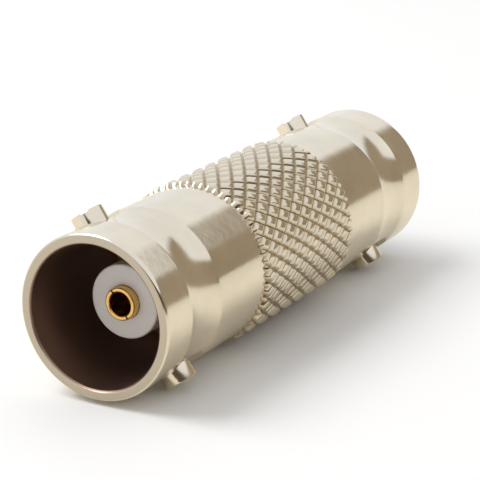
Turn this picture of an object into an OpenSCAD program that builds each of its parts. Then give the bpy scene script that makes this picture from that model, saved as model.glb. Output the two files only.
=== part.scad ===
// BNC jack-to-jack barrel coupler.
// A one-piece barrel has a diamond-knurled grip and two bayonet lugs at each mouth.
// Two insulators are pressed in against a rib at the middle of the barrel.
// They trap the collar of one double-ended socket contact between them.
// The coupler lies on its side, on the knurl and on the edges of two lugs.

/* [Barrel] */
// Length of the barrel, mouth to mouth
barrel_len = 32.85; // [31:0.05:40]
// Outside diameter of the plain barrel
barrel_d = 9.7; // [9.6:0.02:9.8]
// Rounding of the outer edge at each mouth
rim_round = 0.2; // [0.1:0.05:0.25]
// Width of the shallow cove milled round the barrel at the lugs
cove_w = 3.2; // [2.6:0.1:3.6]
// Depth of the cove
cove_depth = 0.16; // [0.08:0.02:0.2]

/* [Knurl] */
// Number of diamonds round the barrel
knurl_starts = 32; // [24:2:36]
// Length of one diamond along the barrel
knurl_pitch = 1.56; // [1.4:0.02:1.8]
// Number of diamonds along the barrel
knurl_repeats = 7; // [4:1:8]
// Height of the groove floors above the plain barrel
knurl_lift = 0.02; // [0.02:0.01:0.1]
// Height of the diamonds above the groove floors
knurl_depth = 0.23; // [0.17:0.01:0.34]
// Width of the flat top of a diamond, as a share of the diamond
knurl_flat = 0.56; // [0.52:0.02:0.7]

/* [Bayonet lugs] */
// Distance from the mouth to the middle of the lugs
lug_at = 4.18; // [3.8:0.02:4.6]
// Distance across the tips of two opposite lugs
lug_span = 11.08; // [10.95:0.01:11.1]
// Diameter of a lug
lug_d = 2; // [1.9:0.02:2.1]
// Bevel of the tip of a lug
lug_bevel = 0.06; // [0.02:0.02:0.1]
// Diameter of the round recess in the tip of a lug
recess_d = 1.5; // [1.2:0.02:1.6]
// Depth of the recess
recess_depth = 0.4; // [0.2:0.05:0.8]
// Diameter of the floor of the flat seat cut round a lug
seat_d = 3.6; // [3.4:0.05:4]
// Depth of the seat below the plain barrel
seat_depth = 0.34; // [0.24:0.02:0.4]
// How much the wall of the seat leans outwards, per unit of its height
seat_lean = 0.7; // [0.2:0.1:0.8]

/* [Bores] */
// Diameter of the entry at each mouth
entry_d = 8.4; // [8.3:0.02:8.46]
// Bevel of the inner edge at each mouth
entry_bevel = 0.12; // [0.05:0.01:0.15]
// Depth of the entry
entry_depth = 1.8; // [1.2:0.1:2]
// Length of the taper behind the entry
taper_len = 0.3; // [0.2:0.05:0.6]
// Diameter of the socket that holds the plug's spring sleeve
socket_d = 8.12; // [8.1:0.01:8.15]
// Depth of the socket below the mouth
socket_depth = 8.58; // [8.4:0.02:8.8]
// Diameter of the bore that holds an insulator
core_d = 6.8; // [6.4:0.1:7.2]
// Diameter of the opening in the middle rib
rib_d = 5.6; // [5:0.1:6]
// Width of the middle rib
rib_w = 1.2; // [0.8:0.1:2]

/* [Insulators] */
// Diameter of the nose of an insulator
nose_d = 4.4; // [4.3:0.02:4.72]
// Depth of the front of the nose below the mouth
nose_at = 3.2; // [3:0.02:3.7]
// Bevel of the edges of an insulator
nose_bevel = 0.12; // [0.05:0.01:0.2]
// Gap between an insulator and the barrel, on the radius
core_gap = 0.01; // [0:0.005:0.03]

/* [Contact] */
// Outside diameter of the contact
contact_d = 1.96; // [1.9:0.02:2.2]
// How far the contact stands out of the nose
contact_proud = 0.54; // [0.3:0.02:0.7]
// Bevel of the outer edge at each tip
contact_bevel = 0.1; // [0.05:0.01:0.15]
// Diameter of the socket for the plug's pin
pin_d = 1.4; // [1.38:0.01:1.44]
// Depth of that socket
pin_depth = 5.6; // [5:0.1:6]
// Bevel of the socket's edge
pin_bevel = 0.12; // [0.05:0.01:0.15]
// Width of the spring slots
slot_w = 0.12; // [0.1:0.02:0.3]
// Length of the spring slots
slot_len = 4.6; // [4:0.1:5]
// Diameter of the collar at the middle
collar_d = 3.4; // [3:0.1:4]
// Gap between the contact and an insulator, on the radius
contact_gap = 0.02; // [0.01:0.01:0.05]

/* [Hidden] */
$fn = 96;
cut = 1;
half_len = barrel_len / 2;
barrel_r = barrel_d / 2;
// The barrel is modelled round Z, with its lugs on X.
cove_r = (cove_w * cove_w / 4 + cove_depth * cove_depth) / (2 * cove_depth);
lug_z = half_len - lug_at;
seat_r = barrel_r - seat_depth;
// The knurl's floors are chords, so they lie a little inside their corners.
knurl_half = 180 / knurl_starts;
floor_r = (barrel_r + knurl_lift) / cos(knurl_half / 2);
crest_r = floor_r + knurl_depth;
knurl_len = knurl_repeats * knurl_pitch;
knurl_rows = 2 * knurl_repeats + 1;
knurl_root_r = barrel_r - 0.35;
// The contact tip, the nose and the floor of the socket, from the middle.
web_z = half_len - socket_depth;
nose_z = half_len - nose_at;
tip_z = nose_z + contact_proud;
// A diamond and the edge of a lug's tip touch the ground together.
lug_edge = [lug_span / 2, lug_d / 2 - lug_bevel];
lie = acos(min(1, crest_r / norm(lug_edge))) + atan(lug_edge[1] / lug_edge[0]);

// Lays what is modelled round Z on its side along X, on the ground.
module laid() {
    translate([0, 0, crest_r])
        rotate([-lie, 0, 0])
            rotate([0, 90, 0])
                children();
}

// Repeats what is at the right mouth at the left mouth.
module both_ends() {
    children();
    mirror([0, 0, 1])
        children();
}

// One corner of the knurl's lattice: row along Z, place round it in half steps.
function knurl_point(row, place, r) =
    [r * cos(place * knurl_half), r * sin(place * knurl_half), (row - knurl_rows / 2) * knurl_pitch / 2];

// The place of the left corner of a diamond.
function left_of(row, col) = 2 * col + row % 2;

// Rows of diamonds round a ring that is sunk in the wall of the barrel.
// Each row of diamonds is half a diamond round from the next one.
module knurl_rings() {
    n = knurl_starts;
    last = knurl_rows;
    k = knurl_flat;
    tops = (last + 1) * n;
    ups = tops + 2 * (last + 1) * n;
    downs = ups + last * n;
    inner = downs + last * n;
    points = concat(
        [for (i = [0:last], m = [0:n - 1]) knurl_point(i, left_of(i, m), floor_r)],
        [for (i = [0:last], m = [0:n - 1], s = [-1, 1]) knurl_point(i, left_of(i, m) + 1 + s * k, crest_r)],
        [for (i = [0:last - 1], m = [0:n - 1]) knurl_point(i + k, left_of(i, m) + 1, crest_r)],
        [for (i = [1:last], m = [0:n - 1]) knurl_point(i - k, left_of(i, m) + 1, crest_r)],
        [for (i = [0, last], j = [0:2 * n - 1]) knurl_point(i, j, knurl_root_r)]
    );
    upper = [for (i = [0:last - 1], m = [0:n - 1])
        let (
            left = i * n + m,
            right = i * n + (m + 1) % n,
            above = (i + 1) * n + (m + i % 2) % n,
            l = tops + 2 * (i * n + m),
            r = l + 1,
            u = ups + i * n + m
        )
        each [[left, above, u], [left, u, l], [above, right, r], [above, r, u], [l, u, r]]];
    lower = [for (i = [1:last], m = [0:n - 1])
        let (
            left = i * n + m,
            right = i * n + (m + 1) % n,
            below = (i - 1) * n + (m + i % 2) % n,
            l = tops + 2 * (i * n + m),
            r = l + 1,
            d = downs + (i - 1) * n + m
        )
        each [[right, below, d], [right, d, r], [below, left, l], [below, l, d], [r, d, l]]];
    ends = [for (e = [0, 1], m = [0:n - 1])
        let (
            left = e * last * n + m,
            right = e * last * n + (m + 1) % n,
            l = tops + 2 * (e * last * n + m),
            r = l + 1,
            a = inner + e * 2 * n + 2 * m,
            b = a + 1,
            c = inner + e * 2 * n + (2 * m + 2) % (2 * n),
            fan = [[a, left, l], [a, l, b], [b, l, r], [b, r, c], [c, r, right]]
        )
        each [for (t = fan) e == 0 ? t : [t[0], t[2], t[1]]]];
    hole = [for (j = [0:2 * n - 1])
        let (
            a = inner + j,
            b = inner + (j + 1) % (2 * n)
        )
        each [[b, b + 2 * n, a + 2 * n], [b, a + 2 * n, a]]];
    polyhedron(points = points, faces = concat(upper, lower, ends, hole));
}

// The knurled band, cut off at each end between two rows of diamonds.
module knurl_band() {
    rotate([0, 0, lie])
        intersection() {
            knurl_rings();
            cylinder(r = crest_r + cut, h = knurl_len, center = true);
        }
}

// Outline of the barrel's outside, with rounded edges at the mouths.
module barrel_outline() {
    translate([0, -half_len])
        square([barrel_r - rim_round, barrel_len]);
    translate([0, -half_len + rim_round])
        square([barrel_r, barrel_len - 2 * rim_round]);
    for (s = [-1, 1])
        translate([barrel_r - rim_round, s * (half_len - rim_round)])
            circle(r = rim_round);
}

// The cove round the barrel at the lugs.
module cove() {
    translate([0, 0, lug_z])
        rotate_extrude()
            translate([barrel_r - cove_depth + cove_r, 0])
                circle(r = cove_r);
}

// The flat seats with leaning walls that a hollow cutter leaves round two opposite lugs.
module seats() {
    for (s = [-1, 1])
        translate([s * seat_r, 0, lug_z])
            rotate([0, s * 90, 0])
                cylinder(d1 = seat_d, d2 = seat_d + 2 * seat_lean * cut, h = cut);
}

// Two opposite lugs, each with a round recess in its tip.
module lugs() {
    for (s = [-1, 1])
        translate([0, 0, lug_z])
            rotate([0, s * 90, 0])
                rotate_extrude()
                    polygon([
                        [0, seat_r - 0.1],
                        [lug_d / 2, seat_r - 0.1],
                        [lug_d / 2, lug_span / 2 - lug_bevel],
                        [lug_d / 2 - lug_bevel, lug_span / 2],
                        [recess_d / 2, lug_span / 2],
                        [recess_d / 2, lug_span / 2 - recess_depth],
                        [0, lug_span / 2 - recess_depth]
                    ]);
}

// Everything that is bored out of the barrel from one mouth.
module mouth_bore() {
    rotate_extrude()
        polygon([
            [0, 0],
            [rib_d / 2, 0],
            [rib_d / 2, rib_w / 2],
            [core_d / 2, rib_w / 2],
            [core_d / 2, web_z],
            [socket_d / 2, web_z],
            [socket_d / 2, half_len - entry_depth - taper_len],
            [entry_d / 2, half_len - entry_depth],
            [entry_d / 2, half_len - entry_bevel],
            [entry_d / 2 + entry_bevel, half_len],
            [entry_d / 2 + entry_bevel, half_len + cut],
            [0, half_len + cut]
        ]);
}

module barrel() {
    color([0.82, 0.77, 0.68])
        laid()
            difference() {
                union() {
                    difference() {
                        rotate_extrude()
                            barrel_outline();
                        both_ends() {
                            cove();
                            seats();
                        }
                    }
                    knurl_band();
                    both_ends()
                        lugs();
                }
                both_ends()
                    mouth_bore();
            }
}

// An insulator, with its back on the rib and its nose in the socket.
module insulator() {
    core_r = core_d / 2 - core_gap;
    color([0.93, 0.92, 0.93])
        rotate_extrude()
            polygon([
                [contact_d / 2 + contact_gap, rib_w / 2],
                [core_r - nose_bevel, rib_w / 2],
                [core_r, rib_w / 2 + nose_bevel],
                [core_r, web_z],
                [nose_d / 2, web_z],
                [nose_d / 2, nose_z - nose_bevel],
                [nose_d / 2 - nose_bevel, nose_z],
                [contact_d / 2 + contact_gap, nose_z]
            ]);
}

module insulator_left() {
    laid()
        mirror([0, 0, 1])
            insulator();
}

module insulator_right() {
    laid()
        insulator();
}

// One half of the contact, with its slotted socket at the tip.
module half_contact() {
    difference() {
        rotate_extrude()
            polygon([
                [0, 0],
                [collar_d / 2, 0],
                [collar_d / 2, rib_w / 2],
                [contact_d / 2, rib_w / 2],
                [contact_d / 2, tip_z - contact_bevel],
                [contact_d / 2 - contact_bevel, tip_z],
                [pin_d / 2 + pin_bevel, tip_z],
                [pin_d / 2, tip_z - pin_bevel],
                [pin_d / 2, tip_z - pin_depth],
                [0, tip_z - pin_depth - pin_d / 2]
            ]);
        translate([-contact_d, -slot_w / 2, tip_z - slot_len])
            cube([2 * contact_d, slot_w, slot_len + cut]);
    }
}

module contact() {
    color([0.83, 0.64, 0.32])
        laid()
            both_ends()
                half_contact();
}

barrel();
insulator_left();
insulator_right();
contact();
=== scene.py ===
"""BNC coupler: a nickel-plated barrel with a diamond knurl, bayonet lugs, insulators and a gold contact."""

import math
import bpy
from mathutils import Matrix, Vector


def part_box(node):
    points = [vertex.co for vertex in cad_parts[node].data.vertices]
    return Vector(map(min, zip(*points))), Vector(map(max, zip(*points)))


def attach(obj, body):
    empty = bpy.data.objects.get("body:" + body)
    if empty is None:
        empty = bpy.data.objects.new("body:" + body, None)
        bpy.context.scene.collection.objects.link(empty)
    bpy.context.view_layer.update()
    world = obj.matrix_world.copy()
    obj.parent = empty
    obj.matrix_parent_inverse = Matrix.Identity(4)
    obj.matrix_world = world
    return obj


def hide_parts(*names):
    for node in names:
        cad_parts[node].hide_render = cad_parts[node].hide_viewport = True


bl_info = {
    "name": "BNC Coupler",
    "version": (1, 0, 0),
    "blender": (4, 5, 0),
    "location": "View3D > Sidebar > Coupler",
    "description": "Builds a nickel-plated coaxial coupler and its studio",
    "category": "Add Mesh",
}

import bmesh
import bpy
from bpy.props import FloatProperty, FloatVectorProperty, IntProperty, PointerProperty
from bpy.types import Operator, Panel, PropertyGroup
from mathutils import Matrix, Vector

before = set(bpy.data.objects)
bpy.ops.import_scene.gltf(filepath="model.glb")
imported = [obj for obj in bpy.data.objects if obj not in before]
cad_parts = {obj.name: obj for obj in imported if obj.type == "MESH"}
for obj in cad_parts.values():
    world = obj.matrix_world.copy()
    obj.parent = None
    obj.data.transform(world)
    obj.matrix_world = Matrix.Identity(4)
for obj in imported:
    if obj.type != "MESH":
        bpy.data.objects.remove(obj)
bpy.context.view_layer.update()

MM = 0.001
BARREL_LOW, BARREL_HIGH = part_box("barrel")
HALF_LEN = (BARREL_HIGH[0] - BARREL_LOW[0]) / 2
CREST_R = (BARREL_HIGH[2] - BARREL_LOW[2]) / 2
AXIS = Vector((0, 0, BARREL_LOW[2] + CREST_R))
TIP_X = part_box("contact")[1][0]
NOSE_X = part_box("insulator_right")[1][0]
SEAM = 1e-7
WHITE = (1, 1, 1)
RELIEF = 0.02 * MM  # height that bumps stand for
SMALL_ROUND_STEPS, ROUND_STEPS = 4, 8
BORE_SHADE_EDGE = (0.07 * MM, 0.11 * MM)  # past the entry's radius, where the painted shade of the bore gives way to bright plate
FACE_EDGE = (0.05 * MM, 0.01 * MM)  # inside the mouth, where the end face's duller plate and its painted shade start
GROOVE_SHADE_REACH = 0.18 * MM  # below the diamonds' tops, where the painted shade of the grooves is full
BARREL_SHARP, PIECE_SHARP, KNURL_SHARP = 12, 25, 28  # degrees past which an edge stays sharp


def length(name, value, description):
    """A size in metres that a user may change."""
    return FloatProperty(name=name, default=value, min=0, unit="LENGTH", precision=5, description=description)


def share(name, value, low, high, description):
    """A plain number that a user may change."""
    return FloatProperty(name=name, default=value, min=low, max=high, subtype="FACTOR", description=description)


def number(name, value, low, high, description):
    """A whole number that a user may change."""
    return IntProperty(name=name, default=value, min=low, max=high, description=description)


def colour(name, value, description):
    """A colour that a user may change."""
    return FloatVectorProperty(
        name=name, default=value, size=3, min=0, max=1, subtype="COLOR", description=description
    )


class CouplerSizes(PropertyGroup):
    """Sizes of the coupler's pieces."""

    barrel_r: length("Barrel radius", 4.85 * MM, "Outside radius of the plain barrel")
    rim_round: length("Rim rounding", 0.2 * MM, "Rounding of the outer edge at each mouth")
    cove_width: length("Cove width", 3.2 * MM, "Width of the shallow cove at the lugs")
    cove_depth: length("Cove depth", 0.16 * MM, "Depth of the cove")
    lug_at: length("Lug distance", 4.18 * MM, "Distance from the mouth to the middle of a lug")
    lug_tip: length("Lug tip", 5.54 * MM, "Distance from the axis to the tip of a lug")
    lug_r: length("Lug radius", 1.0 * MM, "Radius of a lug")
    lug_bevel: length("Lug bevel", 0.06 * MM, "Bevel of a lug's tip, on which the coupler rests")
    lug_round: length("Lug rounding", 0.09 * MM, "Rounding of a lug's tip, inside its bevel")
    recess_r: length("Recess radius", 0.75 * MM, "Radius of the recess in a lug's tip")
    recess_depth: length("Recess depth", 0.4 * MM, "Depth of the recess")
    seat_r: length("Seat radius", 1.8 * MM, "Radius of the floor of the flat seat round a lug")
    seat_level: length("Seat level", 4.51 * MM, "Distance from the axis to the seat")
    seat_lean: share("Seat lean", 0.7, 0, 1, "Outward lean of the seat's wall, per unit of its height")
    entry_r: length("Entry radius", 4.2 * MM, "Radius of the bore at the mouth")
    entry_bevel: length("Entry bevel", 0.12 * MM, "Bevel of the inner edge at each mouth")
    entry_depth: length("Entry depth", 1.8 * MM, "Depth of the entry")
    taper_len: length("Taper length", 1.4 * MM, "Length of the taper behind the entry")
    socket_r: length("Socket radius", 4.06 * MM, "Radius of the bore behind the entry")
    socket_depth: length("Socket depth", 8.58 * MM, "Depth of the socket below the mouth")
    core_r: length("Core radius", 3.4 * MM, "Radius of the bore that holds an insulator")
    rib_r: length("Rib radius", 2.8 * MM, "Radius of the opening in the middle rib")
    rib_width: length("Rib width", 1.2 * MM, "Width of the middle rib")
    edge_round: length("Edge rounding", 0.04 * MM, "Rounding of the small edges")
    lathe_steps: number("Lathe steps", 240, 48, 720, "Faces round the barrel")


class KnurlSizes(PropertyGroup):
    """Sizes of the diamond knurl."""

    starts: number("Diamonds round", 32, 12, 60, "Diamonds round the barrel")
    repeats: number("Diamonds along", 7, 2, 12, "Diamonds along the barrel")
    pitch: length("Pitch", 1.56 * MM, "Length of one diamond along the barrel")
    floor_r: length("Groove floor", 4.875 * MM, "Radius of the groove floors")
    flat: share("Flat share", 0.62, 0.05, 0.9, "Flat top of a diamond, as a share of it")
    soften: length("Softening", 0.11 * MM, "Rounding of a diamond's top edges")
    end_slope: length("End slope", 0.3 * MM, "How far the band's ends slope down onto the barrel")
    segments: number("Softening steps", 4, 1, 6, "Faces across a rounded edge")


class InnerSizes(PropertyGroup):
    """Sizes of the insulators and the contact."""

    nose_r: length("Nose radius", 2.2 * MM, "Radius of an insulator's nose")
    nose_round: length("Nose rounding", 0.12 * MM, "Rounding of the nose's edge")
    hole_round: length("Hole rounding", 0.05 * MM, "Rounding of the edge of the nose's hole")
    core_gap: length("Core gap", 0.01 * MM, "Gap between an insulator and the barrel")
    contact_r: length("Contact radius", 0.98 * MM, "Outside radius of the contact")
    contact_round: length("Tip rounding", 0.12 * MM, "Rounding of the contact's tip")
    contact_gap: length("Contact gap", 0.02 * MM, "Gap between the contact and an insulator")
    pin_r: length("Socket radius", 0.7 * MM, "Radius of the socket for the plug's pin")
    pin_depth: length("Pin socket depth", 5.6 * MM, "Depth of that socket")
    slot_width: length("Slot width", 0.12 * MM, "Width of the spring slots")
    slot_length: length("Slot length", 4.6 * MM, "Length of the spring slots")
    collar_r: length("Collar radius", 1.7 * MM, "Radius of the collar at the middle")


class CouplerFinishes(PropertyGroup):
    """Colours of the finishes and the studio."""

    nickel: colour("Nickel", (0.79, 0.735, 0.625), "Warm nickel plate")
    # The end-face colour is painted shade: darker than the plate for the shaded floor the faces reflect; their
    # rougher turned finish is real.
    face: colour("End faces", (0.5, 0.45, 0.38), "Duller plate and painted shade on the turned end faces")
    # The groove colour is painted shade: the knurl is darkened deep between its diamonds, and a little on their
    # tops.
    groove_shade: colour("Grooves", (0.5, 0.43, 0.32), "Painted shade deep in the knurl")
    # The bore colour is painted shade: the inside of the bores and the entry's bevel are darkened for the shade
    # in them.
    bore: colour("Bore", (0.26, 0.165, 0.12), "Painted shade inside the bores")
    gold: colour("Gold", (0.86, 0.56, 0.2), "Gold plate on the contact")
    insulator: colour("Insulator", (0.74, 0.7, 0.66), "White insulator plastic")
    floor: colour("Floor", (0.93, 0.925, 0.92), "Pale floor")
    # The floor reflection tint is a painted reflection: the metal shows the floor warmer than it is.
    floor_reflection_tint: colour("Floor reflection tint", (0.93, 0.87, 0.75), "The floor as the metal shows it")
    room_near: colour("Room near", (0.1, 0.07, 0.047), "Dark side of the room, behind the camera")
    room_far: colour("Room far", (0.38, 0.31, 0.22), "Dark side of the room, beside the coupler")
    lens: FloatProperty(
        name="Lens", default=141.0, min=20, unit="CAMERA", description="Focal length of the camera"
    )


# ---------------------------------------------------------------- mesh helpers


def lie_angle(size):
    """Angle of the lower lugs from straight down: the edge of a lug's tip touches the ground."""
    side = size.lug_r - size.lug_bevel
    return math.acos(CREST_R / math.hypot(size.lug_tip, side)) + math.atan2(side, size.lug_tip)


def polar(x, r, angle=0.0):
    """A point at x along the axis and r from it, with angle 0 straight down."""
    return Vector((x, r * math.sin(angle), AXIS.z - r * math.cos(angle)))


def add_chain(bm, points, closed=True):
    """Adds a chain of edges through the points."""
    verts = [bm.verts.new(p) for p in points]
    pairs = list(zip(verts, verts[1:]))
    if closed:
        pairs.append((verts[-1], verts[0]))
    for pair in pairs:
        bm.edges.new(pair)
    return verts


def round_corner(bm, vert, offset, segments):
    """Rounds one corner of a flat outline."""
    bmesh.ops.bevel(
        bm,
        geom=[vert],
        offset=offset,
        offset_type="OFFSET",
        segments=segments,
        profile=0.5,
        affect="VERTICES",
        material=-1,
    )


def turn(bm, steps, axis=(1, 0, 0), centre=AXIS):
    """Turns the whole outline once round an axis into a closed shell."""
    bmesh.ops.spin(
        bm,
        geom=bm.verts[:] + bm.edges[:],
        cent=centre,
        axis=axis,
        dvec=(0, 0, 0),
        angle=math.tau,
        steps=steps,
        use_merge=True,
        use_duplicate=False,
    )
    bmesh.ops.remove_doubles(bm, verts=bm.verts, dist=SEAM)
    bmesh.ops.recalc_face_normals(bm, faces=bm.faces)


def lathe(outline, rounds, steps):
    """Turns a closed outline into a ring; rounds maps a corner's number to its rounding."""
    bm = bmesh.new()
    verts = add_chain(bm, outline)
    for index, offset in rounds.items():
        round_corner(bm, verts[index], offset, ROUND_STEPS)
    turn(bm, steps)
    return bm


def shade(bm, sharp_deg):
    """Smooths all faces and keeps edges sharper than the angle."""
    for face in bm.faces:
        face.smooth = True
    limit = math.radians(sharp_deg)
    for edge in bm.edges:
        edge.smooth = len(edge.link_faces) != 2 or edge.calc_face_angle(0) < limit


def to_object(bm, name, sharp_deg=PIECE_SHARP):
    """Turns a bmesh into an object that sits at the origin."""
    shade(bm, sharp_deg)
    mesh = bpy.data.meshes.new(name)
    bm.to_mesh(mesh)
    bm.free()
    obj = bpy.data.objects.new(name, mesh)
    bpy.context.scene.collection.objects.link(obj)
    return obj


def apply_modifiers(obj, sharp_deg):
    """Replaces an object's mesh by what its modifiers make of it."""
    graph = bpy.context.evaluated_depsgraph_get()
    bm = bmesh.new()
    bm.from_mesh(obj.evaluated_get(graph).to_mesh())
    obj.modifiers.clear()
    shade(bm, sharp_deg)
    bm.to_mesh(obj.data)
    bm.free()


def combine(obj, tool, operation):
    """Cuts the tool from the object, or joins it on, and removes the tool."""
    mod = obj.modifiers.new(tool.name, "BOOLEAN")
    mod.operation = operation
    mod.solver = "EXACT"
    mod.object = tool
    apply_modifiers(obj, BARREL_SHARP)
    mesh = tool.data
    bpy.data.objects.remove(tool)
    bpy.data.meshes.remove(mesh)


def arc_points(centre_x, centre_r, radius, half_width, steps):
    """Points along the cove's arc from low x to high x, as (x, r)."""
    top = math.asin(half_width / radius)
    return [
        (centre_x + radius * math.sin(a), centre_r - radius * math.cos(a))
        for a in (top * (2 * i / steps - 1) for i in range(steps + 1))
    ]


# ---------------------------------------------------------------- materials


class Nodes:
    """Adds and links the nodes of one tree."""

    def __init__(self, tree):
        self.tree = tree

    def add(self, kind, **settings):
        node = self.tree.nodes.new(kind)
        for key, value in settings.items():
            setattr(node, key, value)
        return node

    def link(self, source, target):
        self.tree.links.new(source, target)


class MaterialNodes(Nodes):
    """The nodes of a new material."""

    def __init__(self, name):
        self.material = bpy.data.materials.new(name)
        self.material.use_nodes = True
        super().__init__(self.material.node_tree)
        self.shader = self.tree.nodes["Principled BSDF"]


def centred(nodes):
    """Object coordinates counted from the coupler's axis."""
    coord = nodes.add("ShaderNodeTexCoord")
    mapping = nodes.add("ShaderNodeMapping")
    mapping.inputs["Location"].default_value = -AXIS
    nodes.link(coord.outputs["Object"], mapping.inputs["Vector"])
    return mapping.outputs["Vector"]


def noise(nodes, vector, scale, detail, roughness=0.5):
    """A noise texture on the given coordinates."""
    node = nodes.add("ShaderNodeTexNoise")
    node.inputs["Scale"].default_value = scale
    node.inputs["Detail"].default_value = detail
    node.inputs["Roughness"].default_value = roughness
    nodes.link(vector, node.inputs["Vector"])
    return node.outputs["Fac"]


def remap(nodes, value, low, high, to_low, to_high):
    """Maps one range of a value onto another."""
    node = nodes.add("ShaderNodeMapRange")
    node.inputs["From Min"].default_value = low
    node.inputs["From Max"].default_value = high
    node.inputs["To Min"].default_value = to_low
    node.inputs["To Max"].default_value = to_high
    nodes.link(value, node.inputs["Value"])
    return node.outputs["Result"]


def arithmetic(nodes, operation, first, second):
    """One sum on two values."""
    node = nodes.add("ShaderNodeMath", operation=operation)
    nodes.link(first, node.inputs[0])
    nodes.link(second, node.inputs[1])
    return node.outputs["Value"]


def mix_colour(nodes, factor, first, second):
    """Mixes two colours, each a value or a socket."""
    node = nodes.add("ShaderNodeMix", data_type="RGBA")
    nodes.link(factor, node.inputs[0])
    for socket, value in ((node.inputs[6], first), (node.inputs[7], second)):
        if isinstance(value, bpy.types.NodeSocket):
            nodes.link(value, socket)
        else:
            socket.default_value = (*value, 1)
    return node.outputs[2]


def bump(nodes, height, strength, normal=None):
    """A bump node over the height, on top of an earlier normal."""
    node = nodes.add("ShaderNodeBump")
    node.inputs["Strength"].default_value = strength
    node.inputs["Distance"].default_value = RELIEF
    nodes.link(height, node.inputs["Height"])
    if normal is not None:
        nodes.link(normal, node.inputs["Normal"])
    return node.outputs["Normal"]


def distance_from_axis(nodes, vector):
    """How far a point is from the coupler's axis."""
    flat = nodes.add("ShaderNodeVectorMath", operation="MULTIPLY")
    flat.inputs[1].default_value = (0, 1, 1)
    nodes.link(vector, flat.inputs[0])
    distance = nodes.add("ShaderNodeVectorMath", operation="LENGTH")
    nodes.link(flat.outputs["Vector"], distance.inputs[0])
    return distance.outputs["Value"]


def clouded(nodes, clouds, low, high, tint, darker):
    """A tint that fades to a darker share of itself with the clouds."""
    return mix_colour(nodes, remap(nodes, clouds, low, high, 0, 1), tuple(c * darker for c in tint), tint)


def nickel_material(name, tint, face_shade_tint, bore_shade_tint, bore_r, groove_shade_tint=None):
    """Bright nickel plate with faint clouding and lathe lines; dull inside the bores with painted shade there,
    rougher on the end faces with painted shade there, and painted shade deep in the knurl when a groove tint is
    given.
    """
    nodes = MaterialNodes(name)
    vector = centred(nodes)
    clouds = noise(nodes, vector, 320, 4, 0.6)
    specks = noise(nodes, vector, 2600, 3, 0.6)
    bright = clouded(nodes, clouds, 0.35, 0.65, tint, 0.9)
    distance = distance_from_axis(nodes, vector)
    # Painted shade: inside the entry's radius and over its bevel the plate turns to the dark bore colour.
    outside = remap(nodes, distance, *(bore_r + edge for edge in BORE_SHADE_EDGE), 0, 1)
    split = nodes.add("ShaderNodeSeparateXYZ")
    nodes.link(vector, split.inputs[0])
    along = nodes.add("ShaderNodeMath", operation="ABSOLUTE")
    nodes.link(split.outputs["X"], along.inputs[0])
    # Painted shade: the turned end faces are rougher and also painted darker, standing in for the shaded floor
    # they reflect.
    face = remap(nodes, along.outputs["Value"], *(HALF_LEN - edge for edge in FACE_EDGE), 0, 1)
    plate = mix_colour(nodes, face, bright, face_shade_tint)
    # Painted shade: the knurl darkens towards its groove floors, as shade in its creases, and its tops keep a
    # fifth of the darker tint.
    if groove_shade_tint is not None:
        low = remap(nodes, distance, CREST_R - GROOVE_SHADE_REACH, CREST_R, 0, 0.8)
        plate = mix_colour(nodes, low, groove_shade_tint, plate)
    nodes.link(mix_colour(nodes, outside, bore_shade_tint, plate), nodes.shader.inputs["Base Color"])
    polish = remap(nodes, clouds, 0.3, 0.7, 0.1, 0.17)
    bore_dull = remap(nodes, outside, 0, 1, 0.42, 0)
    dull = arithmetic(nodes, "MAXIMUM", bore_dull, remap(nodes, face, 0, 1, 0, 0.32))
    nodes.link(arithmetic(nodes, "MAXIMUM", polish, dull), nodes.shader.inputs["Roughness"])
    nodes.shader.inputs["Metallic"].default_value = 1
    stretch = nodes.add("ShaderNodeMapping")
    stretch.inputs["Scale"].default_value = (9000, 90, 90)
    nodes.link(vector, stretch.inputs["Vector"])
    lines = noise(nodes, stretch.outputs["Vector"], 1, 3, 0.5)
    nodes.link(bump(nodes, specks, 0.16, bump(nodes, lines, 0.025)), nodes.shader.inputs["Normal"])
    return nodes.material


def gold_material(tint):
    """Gold plate with a soft sheen and faint turning marks."""
    nodes = MaterialNodes("gold_plate")
    vector = centred(nodes)
    clouds = noise(nodes, vector, 900, 4, 0.6)
    nodes.link(clouded(nodes, clouds, 0.3, 0.7, tint, 0.8), nodes.shader.inputs["Base Color"])
    nodes.link(remap(nodes, clouds, 0.3, 0.7, 0.16, 0.3), nodes.shader.inputs["Roughness"])
    nodes.shader.inputs["Metallic"].default_value = 1
    nodes.link(bump(nodes, noise(nodes, vector, 4000, 2), 0.1), nodes.shader.inputs["Normal"])
    return nodes.material


def insulator_material(tint):
    """Smooth white plastic that lets a little light in."""
    nodes = MaterialNodes("insulator_plastic")
    vector = centred(nodes)
    clouds = noise(nodes, vector, 500, 5, 0.6)
    nodes.link(clouded(nodes, clouds, 0.3, 0.7, tint, 0.95), nodes.shader.inputs["Base Color"])
    nodes.link(remap(nodes, clouds, 0.3, 0.7, 0.36, 0.48), nodes.shader.inputs["Roughness"])
    nodes.shader.inputs["Subsurface Weight"].default_value = 0.15
    nodes.shader.inputs["Subsurface Radius"].default_value = (0.6 * MM, 0.55 * MM, 0.5 * MM)
    nodes.shader.inputs["Subsurface Scale"].default_value = 1
    nodes.link(bump(nodes, noise(nodes, vector, 3000, 3), 0.08), nodes.shader.inputs["Normal"])
    return nodes.material


def finish_piece(obj, material, slot, *cad_nodes):
    """Gives a piece its material and its place in the model."""
    obj.data.materials.clear()
    obj.data.materials.append(material)
    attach(obj, "root")
    if cad_nodes:
        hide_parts(*cad_nodes)


def nickel(context, name, *extra):
    """The nickel plate of the barrel or its knurl."""
    finishes = context.scene.coupler_finishes
    bore_r = context.scene.coupler_sizes.entry_r
    tints = (tuple(finishes.nickel), tuple(finishes.face), tuple(finishes.bore))
    return nickel_material(name, *tints, bore_r, *extra)


# ---------------------------------------------------------------- pieces


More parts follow.
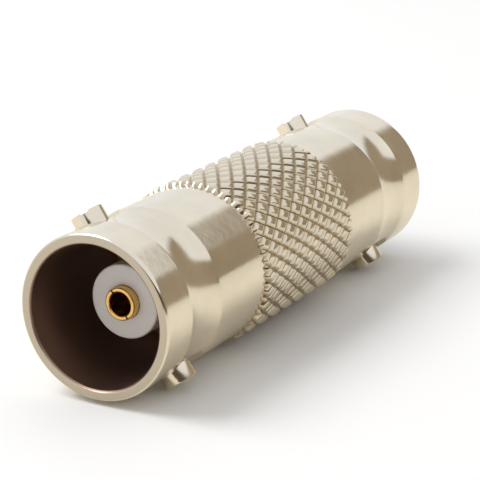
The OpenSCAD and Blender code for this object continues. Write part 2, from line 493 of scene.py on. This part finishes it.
class COUPLER_OT_barrel(Operator):
    """Build the barrel: outside, coves, seats, lugs and bores"""

    bl_idname = "coupler.barrel"
    bl_label = "Barrel"
    SUPPORT = 0.1 * MM  # from a rounded edge to the ring that keeps the plain wall's shading straight
    COVE_STEPS = 24
    LUG_ROOT = 0.15 * MM  # how far a lug reaches into the wall below its seat
    LUG_STEPS, SEAT_STEPS = 64, 96
    CUT_HEIGHT = 1 * MM

    def outline(self, size):
        """The barrel's wall: over the outside from the right rim to the left, and back through the bore."""
        radius = (size.cove_width**2 / 4 + size.cove_depth**2) / (2 * size.cove_depth)
        lug_x = HALF_LEN - size.lug_at
        centre_r = size.barrel_r - size.cove_depth + radius
        cove = arc_points(lug_x, centre_r, radius, size.cove_width / 2, self.COVE_STEPS)
        reach = size.cove_width / 2 + self.SUPPORT
        plain = [HALF_LEN, HALF_LEN - size.rim_round - self.SUPPORT, lug_x + reach]
        half = [(x, size.barrel_r) for x in plain] + cove[::-1] + [(lug_x - reach, size.barrel_r)]
        outside = half + [(-x, r) for x, r in reversed(half)]
        bore = [
            (HALF_LEN, size.entry_r + size.entry_bevel),
            (HALF_LEN - size.entry_bevel, size.entry_r),
            (HALF_LEN - size.entry_depth, size.entry_r),
            (HALF_LEN - size.entry_depth - size.taper_len, size.socket_r),
            (HALF_LEN - size.socket_depth, size.socket_r),
            (HALF_LEN - size.socket_depth, size.core_r),
            (size.rib_width / 2, size.core_r),
            (size.rib_width / 2, size.rib_r),
        ]
        inside = [(-x, r) for x, r in bore] + [(x, r) for x, r in reversed(bore)]
        cove_ends = [len(plain), len(plain) + len(cove) - 1]
        cove_ends += [len(outside) - 1 - index for index in cove_ends]
        return [polar(x, r) for x, r in outside + inside], len(outside), cove_ends

    def lug_axis(self, size, side):
        """The direction a lug points in, away from the coupler's axis."""
        lie = lie_angle(size)
        return Vector((0, side * -math.sin(lie), side * -math.cos(lie)))

    def lug(self, size, sign, side):
        """One lug with a recessed tip, as a tool to join on."""
        spot = Vector((sign * (HALF_LEN - size.lug_at), 0, 0))
        up = self.lug_axis(size, side)
        across = Vector((1, 0, 0))
        levels = [
            (0, size.seat_level - self.LUG_ROOT),
            (size.lug_r, size.seat_level - self.LUG_ROOT),
            (size.lug_r, size.lug_tip),
            (size.recess_r, size.lug_tip),
            (size.recess_r, size.lug_tip - size.recess_depth),
            (0, size.lug_tip - size.recess_depth),
        ]
        bm = bmesh.new()
        verts = add_chain(bm, [AXIS + spot + up * h + across * r for r, h in levels], closed=False)
        for index, offset in ((2, size.lug_round), (3, size.edge_round), (4, size.edge_round)):
            round_corner(bm, verts[index], offset, SMALL_ROUND_STEPS)
        turn(bm, self.LUG_STEPS, up, AXIS + spot)
        return to_object(bm, "lug_tool")

    def seat_cutter(self, size, sign, side):
        """The flat-ended cutter that makes the seat round one lug."""
        up = self.lug_axis(size, side)
        top_r = size.seat_r + size.seat_lean * self.CUT_HEIGHT
        spot = Vector((sign * (HALF_LEN - size.lug_at), 0, 0))
        middle = AXIS + spot + up * (size.seat_level + self.CUT_HEIGHT / 2)
        bm = bmesh.new()
        tilt = up.to_track_quat("Z", "Y").to_matrix().to_4x4()
        bmesh.ops.create_cone(
            bm, cap_ends=True, cap_tris=False, segments=self.SEAT_STEPS, radius1=size.seat_r, radius2=top_r,
            depth=self.CUT_HEIGHT, matrix=Matrix.Translation(middle) @ tilt,
        )
        return to_object(bm, "seat_tool")

    def execute(self, context):
        size = context.scene.coupler_sizes
        points, outside, cove_ends = self.outline(size)
        count = len(points)
        rounds = {
            0: size.rim_round,
            outside - 1: size.rim_round,
            outside: size.edge_round,
            count - 1: size.edge_round,
            outside + 1: size.edge_round,
            count - 2: size.edge_round,
        }
        rounds.update((index, size.edge_round) for index in cove_ends)
        barrel = to_object(lathe(points, rounds, size.lathe_steps), "barrel_body", BARREL_SHARP)
        ends = [(sign, side) for sign in (-1, 1) for side in (-1, 1)]
        for sign, side in ends:
            combine(barrel, self.seat_cutter(size, sign, side), "DIFFERENCE")
        for sign, side in ends:
            combine(barrel, self.lug(size, sign, side), "UNION")
        finish_piece(barrel, nickel(context, "nickel_plate"), "nickel", "barrel")
        return {"FINISHED"}


class COUPLER_OT_knurl(Operator):
    """Build the band of diamonds round the middle of the barrel"""

    bl_idname = "coupler.knurl"
    bl_label = "Knurl"
    JOIN = 0.002 * MM  # under which the corners of neighbouring diamonds are one

    def diamond(self, knurl, height):
        """One raised diamond on a flat sheet: X along the barrel, Y round it, Z up."""
        half_x = knurl.pitch / 2
        half_y = math.pi * knurl.floor_r / knurl.starts
        bm = bmesh.new()
        bmesh.ops.create_circle(bm, cap_ends=True, segments=4, radius=1)
        bmesh.ops.scale(bm, verts=bm.verts, vec=(half_x, half_y, 1))
        inner = half_x * half_y / math.hypot(half_x, half_y)
        top = bm.faces[:]
        bmesh.ops.inset_individual(
            bm, faces=top, thickness=inner * (1 - knurl.flat), depth=0, use_even_offset=True
        )
        bmesh.ops.translate(bm, verts=top[0].verts, vec=(0, 0, height))
        bmesh.ops.bevel(
            bm, geom=top[0].edges[:], offset=knurl.soften, offset_type="OFFSET", segments=knurl.segments,
            profile=0.5, affect="EDGES", clamp_overlap=True, material=-1,
        )
        return bm

    def execute(self, context):
        knurl = context.scene.knurl_sizes
        size = context.scene.coupler_sizes
        height = CREST_R - knurl.floor_r
        bm = self.diamond(knurl, height)
        half_turn = math.pi / knurl.starts
        tile = bm.verts[:] + bm.edges[:] + bm.faces[:]
        rows = []
        for row in range(2 * knurl.repeats + 2):
            copy = bmesh.ops.duplicate(bm, geom=tile)["geom"]
            verts = [e for e in copy if isinstance(e, bmesh.types.BMVert)]
            x = (row - knurl.repeats - 0.5) * knurl.pitch / 2
            y = (1 - row % 2) * half_turn * knurl.floor_r
            bmesh.ops.translate(bm, verts=verts, vec=(x, y, 0))
            rows += copy
        bmesh.ops.delete(bm, geom=tile, context="VERTS")
        for vert in bm.verts:
            vert.co = polar(vert.co.x, knurl.floor_r + vert.co.z, vert.co.y / knurl.floor_r)
        bmesh.ops.spin(
            bm, geom=bm.verts[:] + bm.edges[:] + bm.faces[:], cent=AXIS, axis=(1, 0, 0), dvec=(0, 0, 0),
            angle=math.tau * (knurl.starts - 1) / knurl.starts, steps=knurl.starts - 1, use_duplicate=True,
        )
        bmesh.ops.remove_doubles(bm, verts=bm.verts, dist=self.JOIN)
        half = knurl.repeats * knurl.pitch / 2
        for sign in (-1, 1):
            bmesh.ops.bisect_plane(
                bm, geom=bm.verts[:] + bm.edges[:] + bm.faces[:], dist=SEAM, plane_co=(sign * half, 0, 0),
                plane_no=(sign, 0, 0), clear_outer=True,
            )
        rim = [e for e in bm.edges if e.is_boundary]
        wall = bmesh.ops.extrude_edge_only(bm, edges=rim)["geom"]
        for vert in (e for e in wall if isinstance(e, bmesh.types.BMVert)):
            arm = Vector((0, vert.co.y - AXIS.y, vert.co.z - AXIS.z))
            x = vert.co.x + math.copysign(knurl.end_slope, vert.co.x)
            vert.co = Vector((x, AXIS.y, AXIS.z)) + arm.normalized() * (size.barrel_r - knurl.end_slope / 2)
        bmesh.ops.bridge_loops(bm, edges=[e for e in bm.edges if e.is_boundary])
        bmesh.ops.recalc_face_normals(bm, faces=bm.faces)
        plate = nickel(context, "knurl_plate", tuple(context.scene.coupler_finishes.groove_shade))
        finish_piece(to_object(bm, "barrel_knurl", KNURL_SHARP), plate, "nickel", "barrel")
        return {"FINISHED"}


class COUPLER_OT_insulators(Operator):
    """Build the two insulators with their noses"""

    bl_idname = "coupler.insulators"
    bl_label = "Insulators"
    STEPS = 128

    def execute(self, context):
        size = context.scene.coupler_sizes
        inner = context.scene.inner_sizes
        bore = inner.contact_r + inner.contact_gap
        core = size.core_r - inner.core_gap
        web = HALF_LEN - size.socket_depth
        plastic = insulator_material(tuple(context.scene.coupler_finishes.insulator))
        for name, sign in (("insulator_left", -1), ("insulator_right", 1)):
            outline = [
                (size.rib_width / 2, bore),
                (size.rib_width / 2, core),
                (web, core),
                (web, inner.nose_r),
                (NOSE_X, inner.nose_r),
                (NOSE_X, bore),
            ]
            rounds = {1: inner.nose_round, 4: inner.nose_round, 5: inner.hole_round}
            bm = lathe([polar(sign * x, r) for x, r in outline], rounds, self.STEPS)
            piece = to_object(bm, name + "_piece")
            finish_piece(piece, plastic, "insulator", name)
        return {"FINISHED"}


class COUPLER_OT_contact(Operator):
    """Build the double-ended socket contact with its spring slots"""

    bl_idname = "coupler.contact"
    bl_label = "Contact"
    STEPS, TIP_STEPS = 96, 5
    OVERSHOOT = 1 * MM  # how far the slot's cutter reaches past the tip

    def execute(self, context):
        size = context.scene.coupler_sizes
        inner = context.scene.inner_sizes
        half = [
            (0, inner.collar_r),
            (size.rib_width / 2, inner.collar_r),
            (size.rib_width / 2, inner.contact_r),
            (TIP_X, inner.contact_r),
            (TIP_X, inner.pin_r),
            (TIP_X - inner.pin_depth, inner.pin_r),
            (TIP_X - inner.pin_depth - inner.pin_r, 0),
        ]
        bm = bmesh.new()
        chain = [(-x, r) for x, r in reversed(half[1:])] + half[1:]
        verts = add_chain(bm, [polar(x, r) for x, r in chain], closed=False)
        last = len(chain) - 1
        for index in (3, 2, last - 3, last - 2):
            round_corner(bm, verts[index], inner.contact_round, self.TIP_STEPS)
        turn(bm, self.STEPS)
        contact = to_object(bm, "contact_piece")
        for sign in (-1, 1):
            bm = bmesh.new()
            middle = AXIS + Vector((sign * (TIP_X - inner.slot_length / 2 + self.OVERSHOOT / 2), 0, 0))
            place = Matrix.Translation(middle) @ Matrix.Rotation(-lie_angle(size), 4, "X")
            sides = (inner.slot_length + self.OVERSHOOT, inner.slot_width, 3 * inner.contact_r, 1)
            bmesh.ops.create_cube(bm, size=1, matrix=place @ Matrix.Diagonal(sides))
            combine(contact, to_object(bm, "slot_tool"), "DIFFERENCE")
        tint = tuple(context.scene.coupler_finishes.gold)
        finish_piece(contact, gold_material(tint), "gold", "contact")
        return {"FINISHED"}


class COUPLER_OT_studio(Operator):
    """Build the floor, the lights, the surroundings and the camera"""

    bl_idname = "coupler.studio"
    bl_label = "Studio"
    FILL = (0.68, 0.68, 0.68)
    # Where the room's dark walls end, as parts of a direction's X, Y and Z.
    LOW_WALL_TOP = (0.37, 0.42)
    TALL_WALL_TOP = (0.57, 0.62)
    TALL_WALL_START = (0.802, 0.818)
    WALL_SIDE = (-0.1, 0)
    ROOM_FADE = (-0.4, 0.6)
    CAMERA_PLACE = (-0.09693, -0.05469, 0.0404)
    SENSOR_WIDTH = 36

    def floor(self, tint, reflection_tint):
        """A wide pale floor with a soft shadow."""
        bm = bmesh.new()
        bmesh.ops.create_grid(bm, x_segments=1, y_segments=1, size=1.5)
        floor = to_object(bm, "floor")
        nodes = MaterialNodes("pale_floor")
        coord = nodes.add("ShaderNodeTexCoord")
        patches = noise(nodes, coord.outputs["Object"], 60, 3)
        seen = mix_colour(nodes, patches, tint, tuple(c * 0.99 for c in tint))
        path = nodes.add("ShaderNodeLightPath")
        # Painted reflection: glossy rays see the floor in the warm reflection tint, the camera sees it plain
        # and pale.
        shown = mix_colour(nodes, path.outputs["Is Glossy Ray"], seen, reflection_tint)
        nodes.link(shown, nodes.shader.inputs["Base Color"])
        nodes.shader.inputs["Roughness"].default_value = 0.6
        nodes.shader.inputs["Specular IOR Level"].default_value = 0.2
        floor.data.materials.append(nodes.material)

    def lamp(self, name, place, size, power):
        """A soft square lamp aimed at the coupler."""
        light = bpy.data.lights.new(name, "AREA")
        light.shape = "RECTANGLE"
        light.size, light.size_y = size
        light.energy = power
        obj = bpy.data.objects.new(name, light)
        obj.location = place
        obj.rotation_euler = (AXIS - Vector(place)).to_track_quat("-Z", "Y").to_euler()
        bpy.context.scene.collection.objects.link(obj)

    def surroundings(self, near, far):
        """A white world with a dark, low side of a room where the camera stands."""
        world = bpy.data.worlds.new("studio_world")
        bpy.context.scene.world = world
        world.use_nodes = True
        nodes = Nodes(world.node_tree)
        coord = nodes.add("ShaderNodeTexCoord")
        split = nodes.add("ShaderNodeSeparateXYZ")
        nodes.link(coord.outputs["Generated"], split.inputs[0])
        low = remap(nodes, split.outputs["Z"], *self.LOW_WALL_TOP, 1, 0)
        tall = remap(nodes, split.outputs["Z"], *self.TALL_WALL_TOP, 1, 0)
        far_end = remap(nodes, split.outputs["X"], *self.TALL_WALL_START, 0, 1)
        side = remap(nodes, split.outputs["Y"], *self.WALL_SIDE, 1, 0)
        outline = arithmetic(nodes, "MAXIMUM", low, arithmetic(nodes, "MULTIPLY", tall, far_end))
        dark = arithmetic(nodes, "MULTIPLY", outline, side)
        room = mix_colour(nodes, remap(nodes, split.outputs["X"], *self.ROOM_FADE, 0, 1), near, far)
        seen = mix_colour(nodes, dark, WHITE, room)
        path = nodes.add("ShaderNodeLightPath")
        glossy, through = path.outputs["Is Glossy Ray"], path.outputs["Is Transmission Ray"]
        shows = arithmetic(nodes, "MAXIMUM", glossy, through)
        soft = mix_colour(nodes, shows, self.FILL, seen)
        plain = mix_colour(nodes, path.outputs["Is Camera Ray"], soft, WHITE)
        nodes.link(plain, world.node_tree.nodes["Background"].inputs["Color"])

    def execute(self, context):
        finishes = context.scene.coupler_finishes
        self.floor(tuple(finishes.floor), tuple(finishes.floor_reflection_tint))
        self.surroundings(tuple(finishes.room_near), tuple(finishes.room_far))
        self.lamp("key_lamp", (-0.1, 0.24, 0.36), (0.26, 0.26), 1.2)
        camera = bpy.data.cameras.new("camera")
        camera.lens = finishes.lens
        camera.sensor_width = self.SENSOR_WIDTH
        obj = bpy.data.objects.new("camera", camera)
        obj.location = self.CAMERA_PLACE
        obj.rotation_euler = (AXIS - obj.location).to_track_quat("-Z", "Y").to_euler()
        camera.clip_start = 0.005
        bpy.context.scene.collection.objects.link(obj)
        context.scene.camera = obj
        context.scene.view_settings.view_transform = "Standard"
        return {"FINISHED"}


class COUPLER_PT_panel(Panel):
    """Lists the coupler's pieces in the sidebar"""

    bl_idname = "COUPLER_PT_panel"
    bl_label = "BNC Coupler"
    bl_space_type = "VIEW_3D"
    bl_region_type = "UI"
    bl_category = "Coupler"

    def draw(self, context):
        for operator in OPERATORS:
            self.layout.operator(operator.bl_idname)


OPERATORS = (
    COUPLER_OT_barrel,
    COUPLER_OT_knurl,
    COUPLER_OT_insulators,
    COUPLER_OT_contact,
    COUPLER_OT_studio,
)
GROUPS = {
    "coupler_sizes": CouplerSizes,
    "knurl_sizes": KnurlSizes,
    "inner_sizes": InnerSizes,
    "coupler_finishes": CouplerFinishes,
}


def register():
    for name, group in GROUPS.items():
        bpy.utils.register_class(group)
        setattr(bpy.types.Scene, name, PointerProperty(type=group))
    for cls in (*OPERATORS, COUPLER_PT_panel):
        bpy.utils.register_class(cls)


def unregister():
    for cls in reversed((*OPERATORS, COUPLER_PT_panel)):
        bpy.utils.unregister_class(cls)
    for name, group in GROUPS.items():
        delattr(bpy.types.Scene, name)
        bpy.utils.unregister_class(group)


def main():
    register()
    bpy.ops.coupler.studio()
    bpy.ops.coupler.barrel()
    bpy.ops.coupler.knurl()
    bpy.ops.coupler.insulators()
    bpy.ops.coupler.contact()


if __name__ == "__main__":
    main()
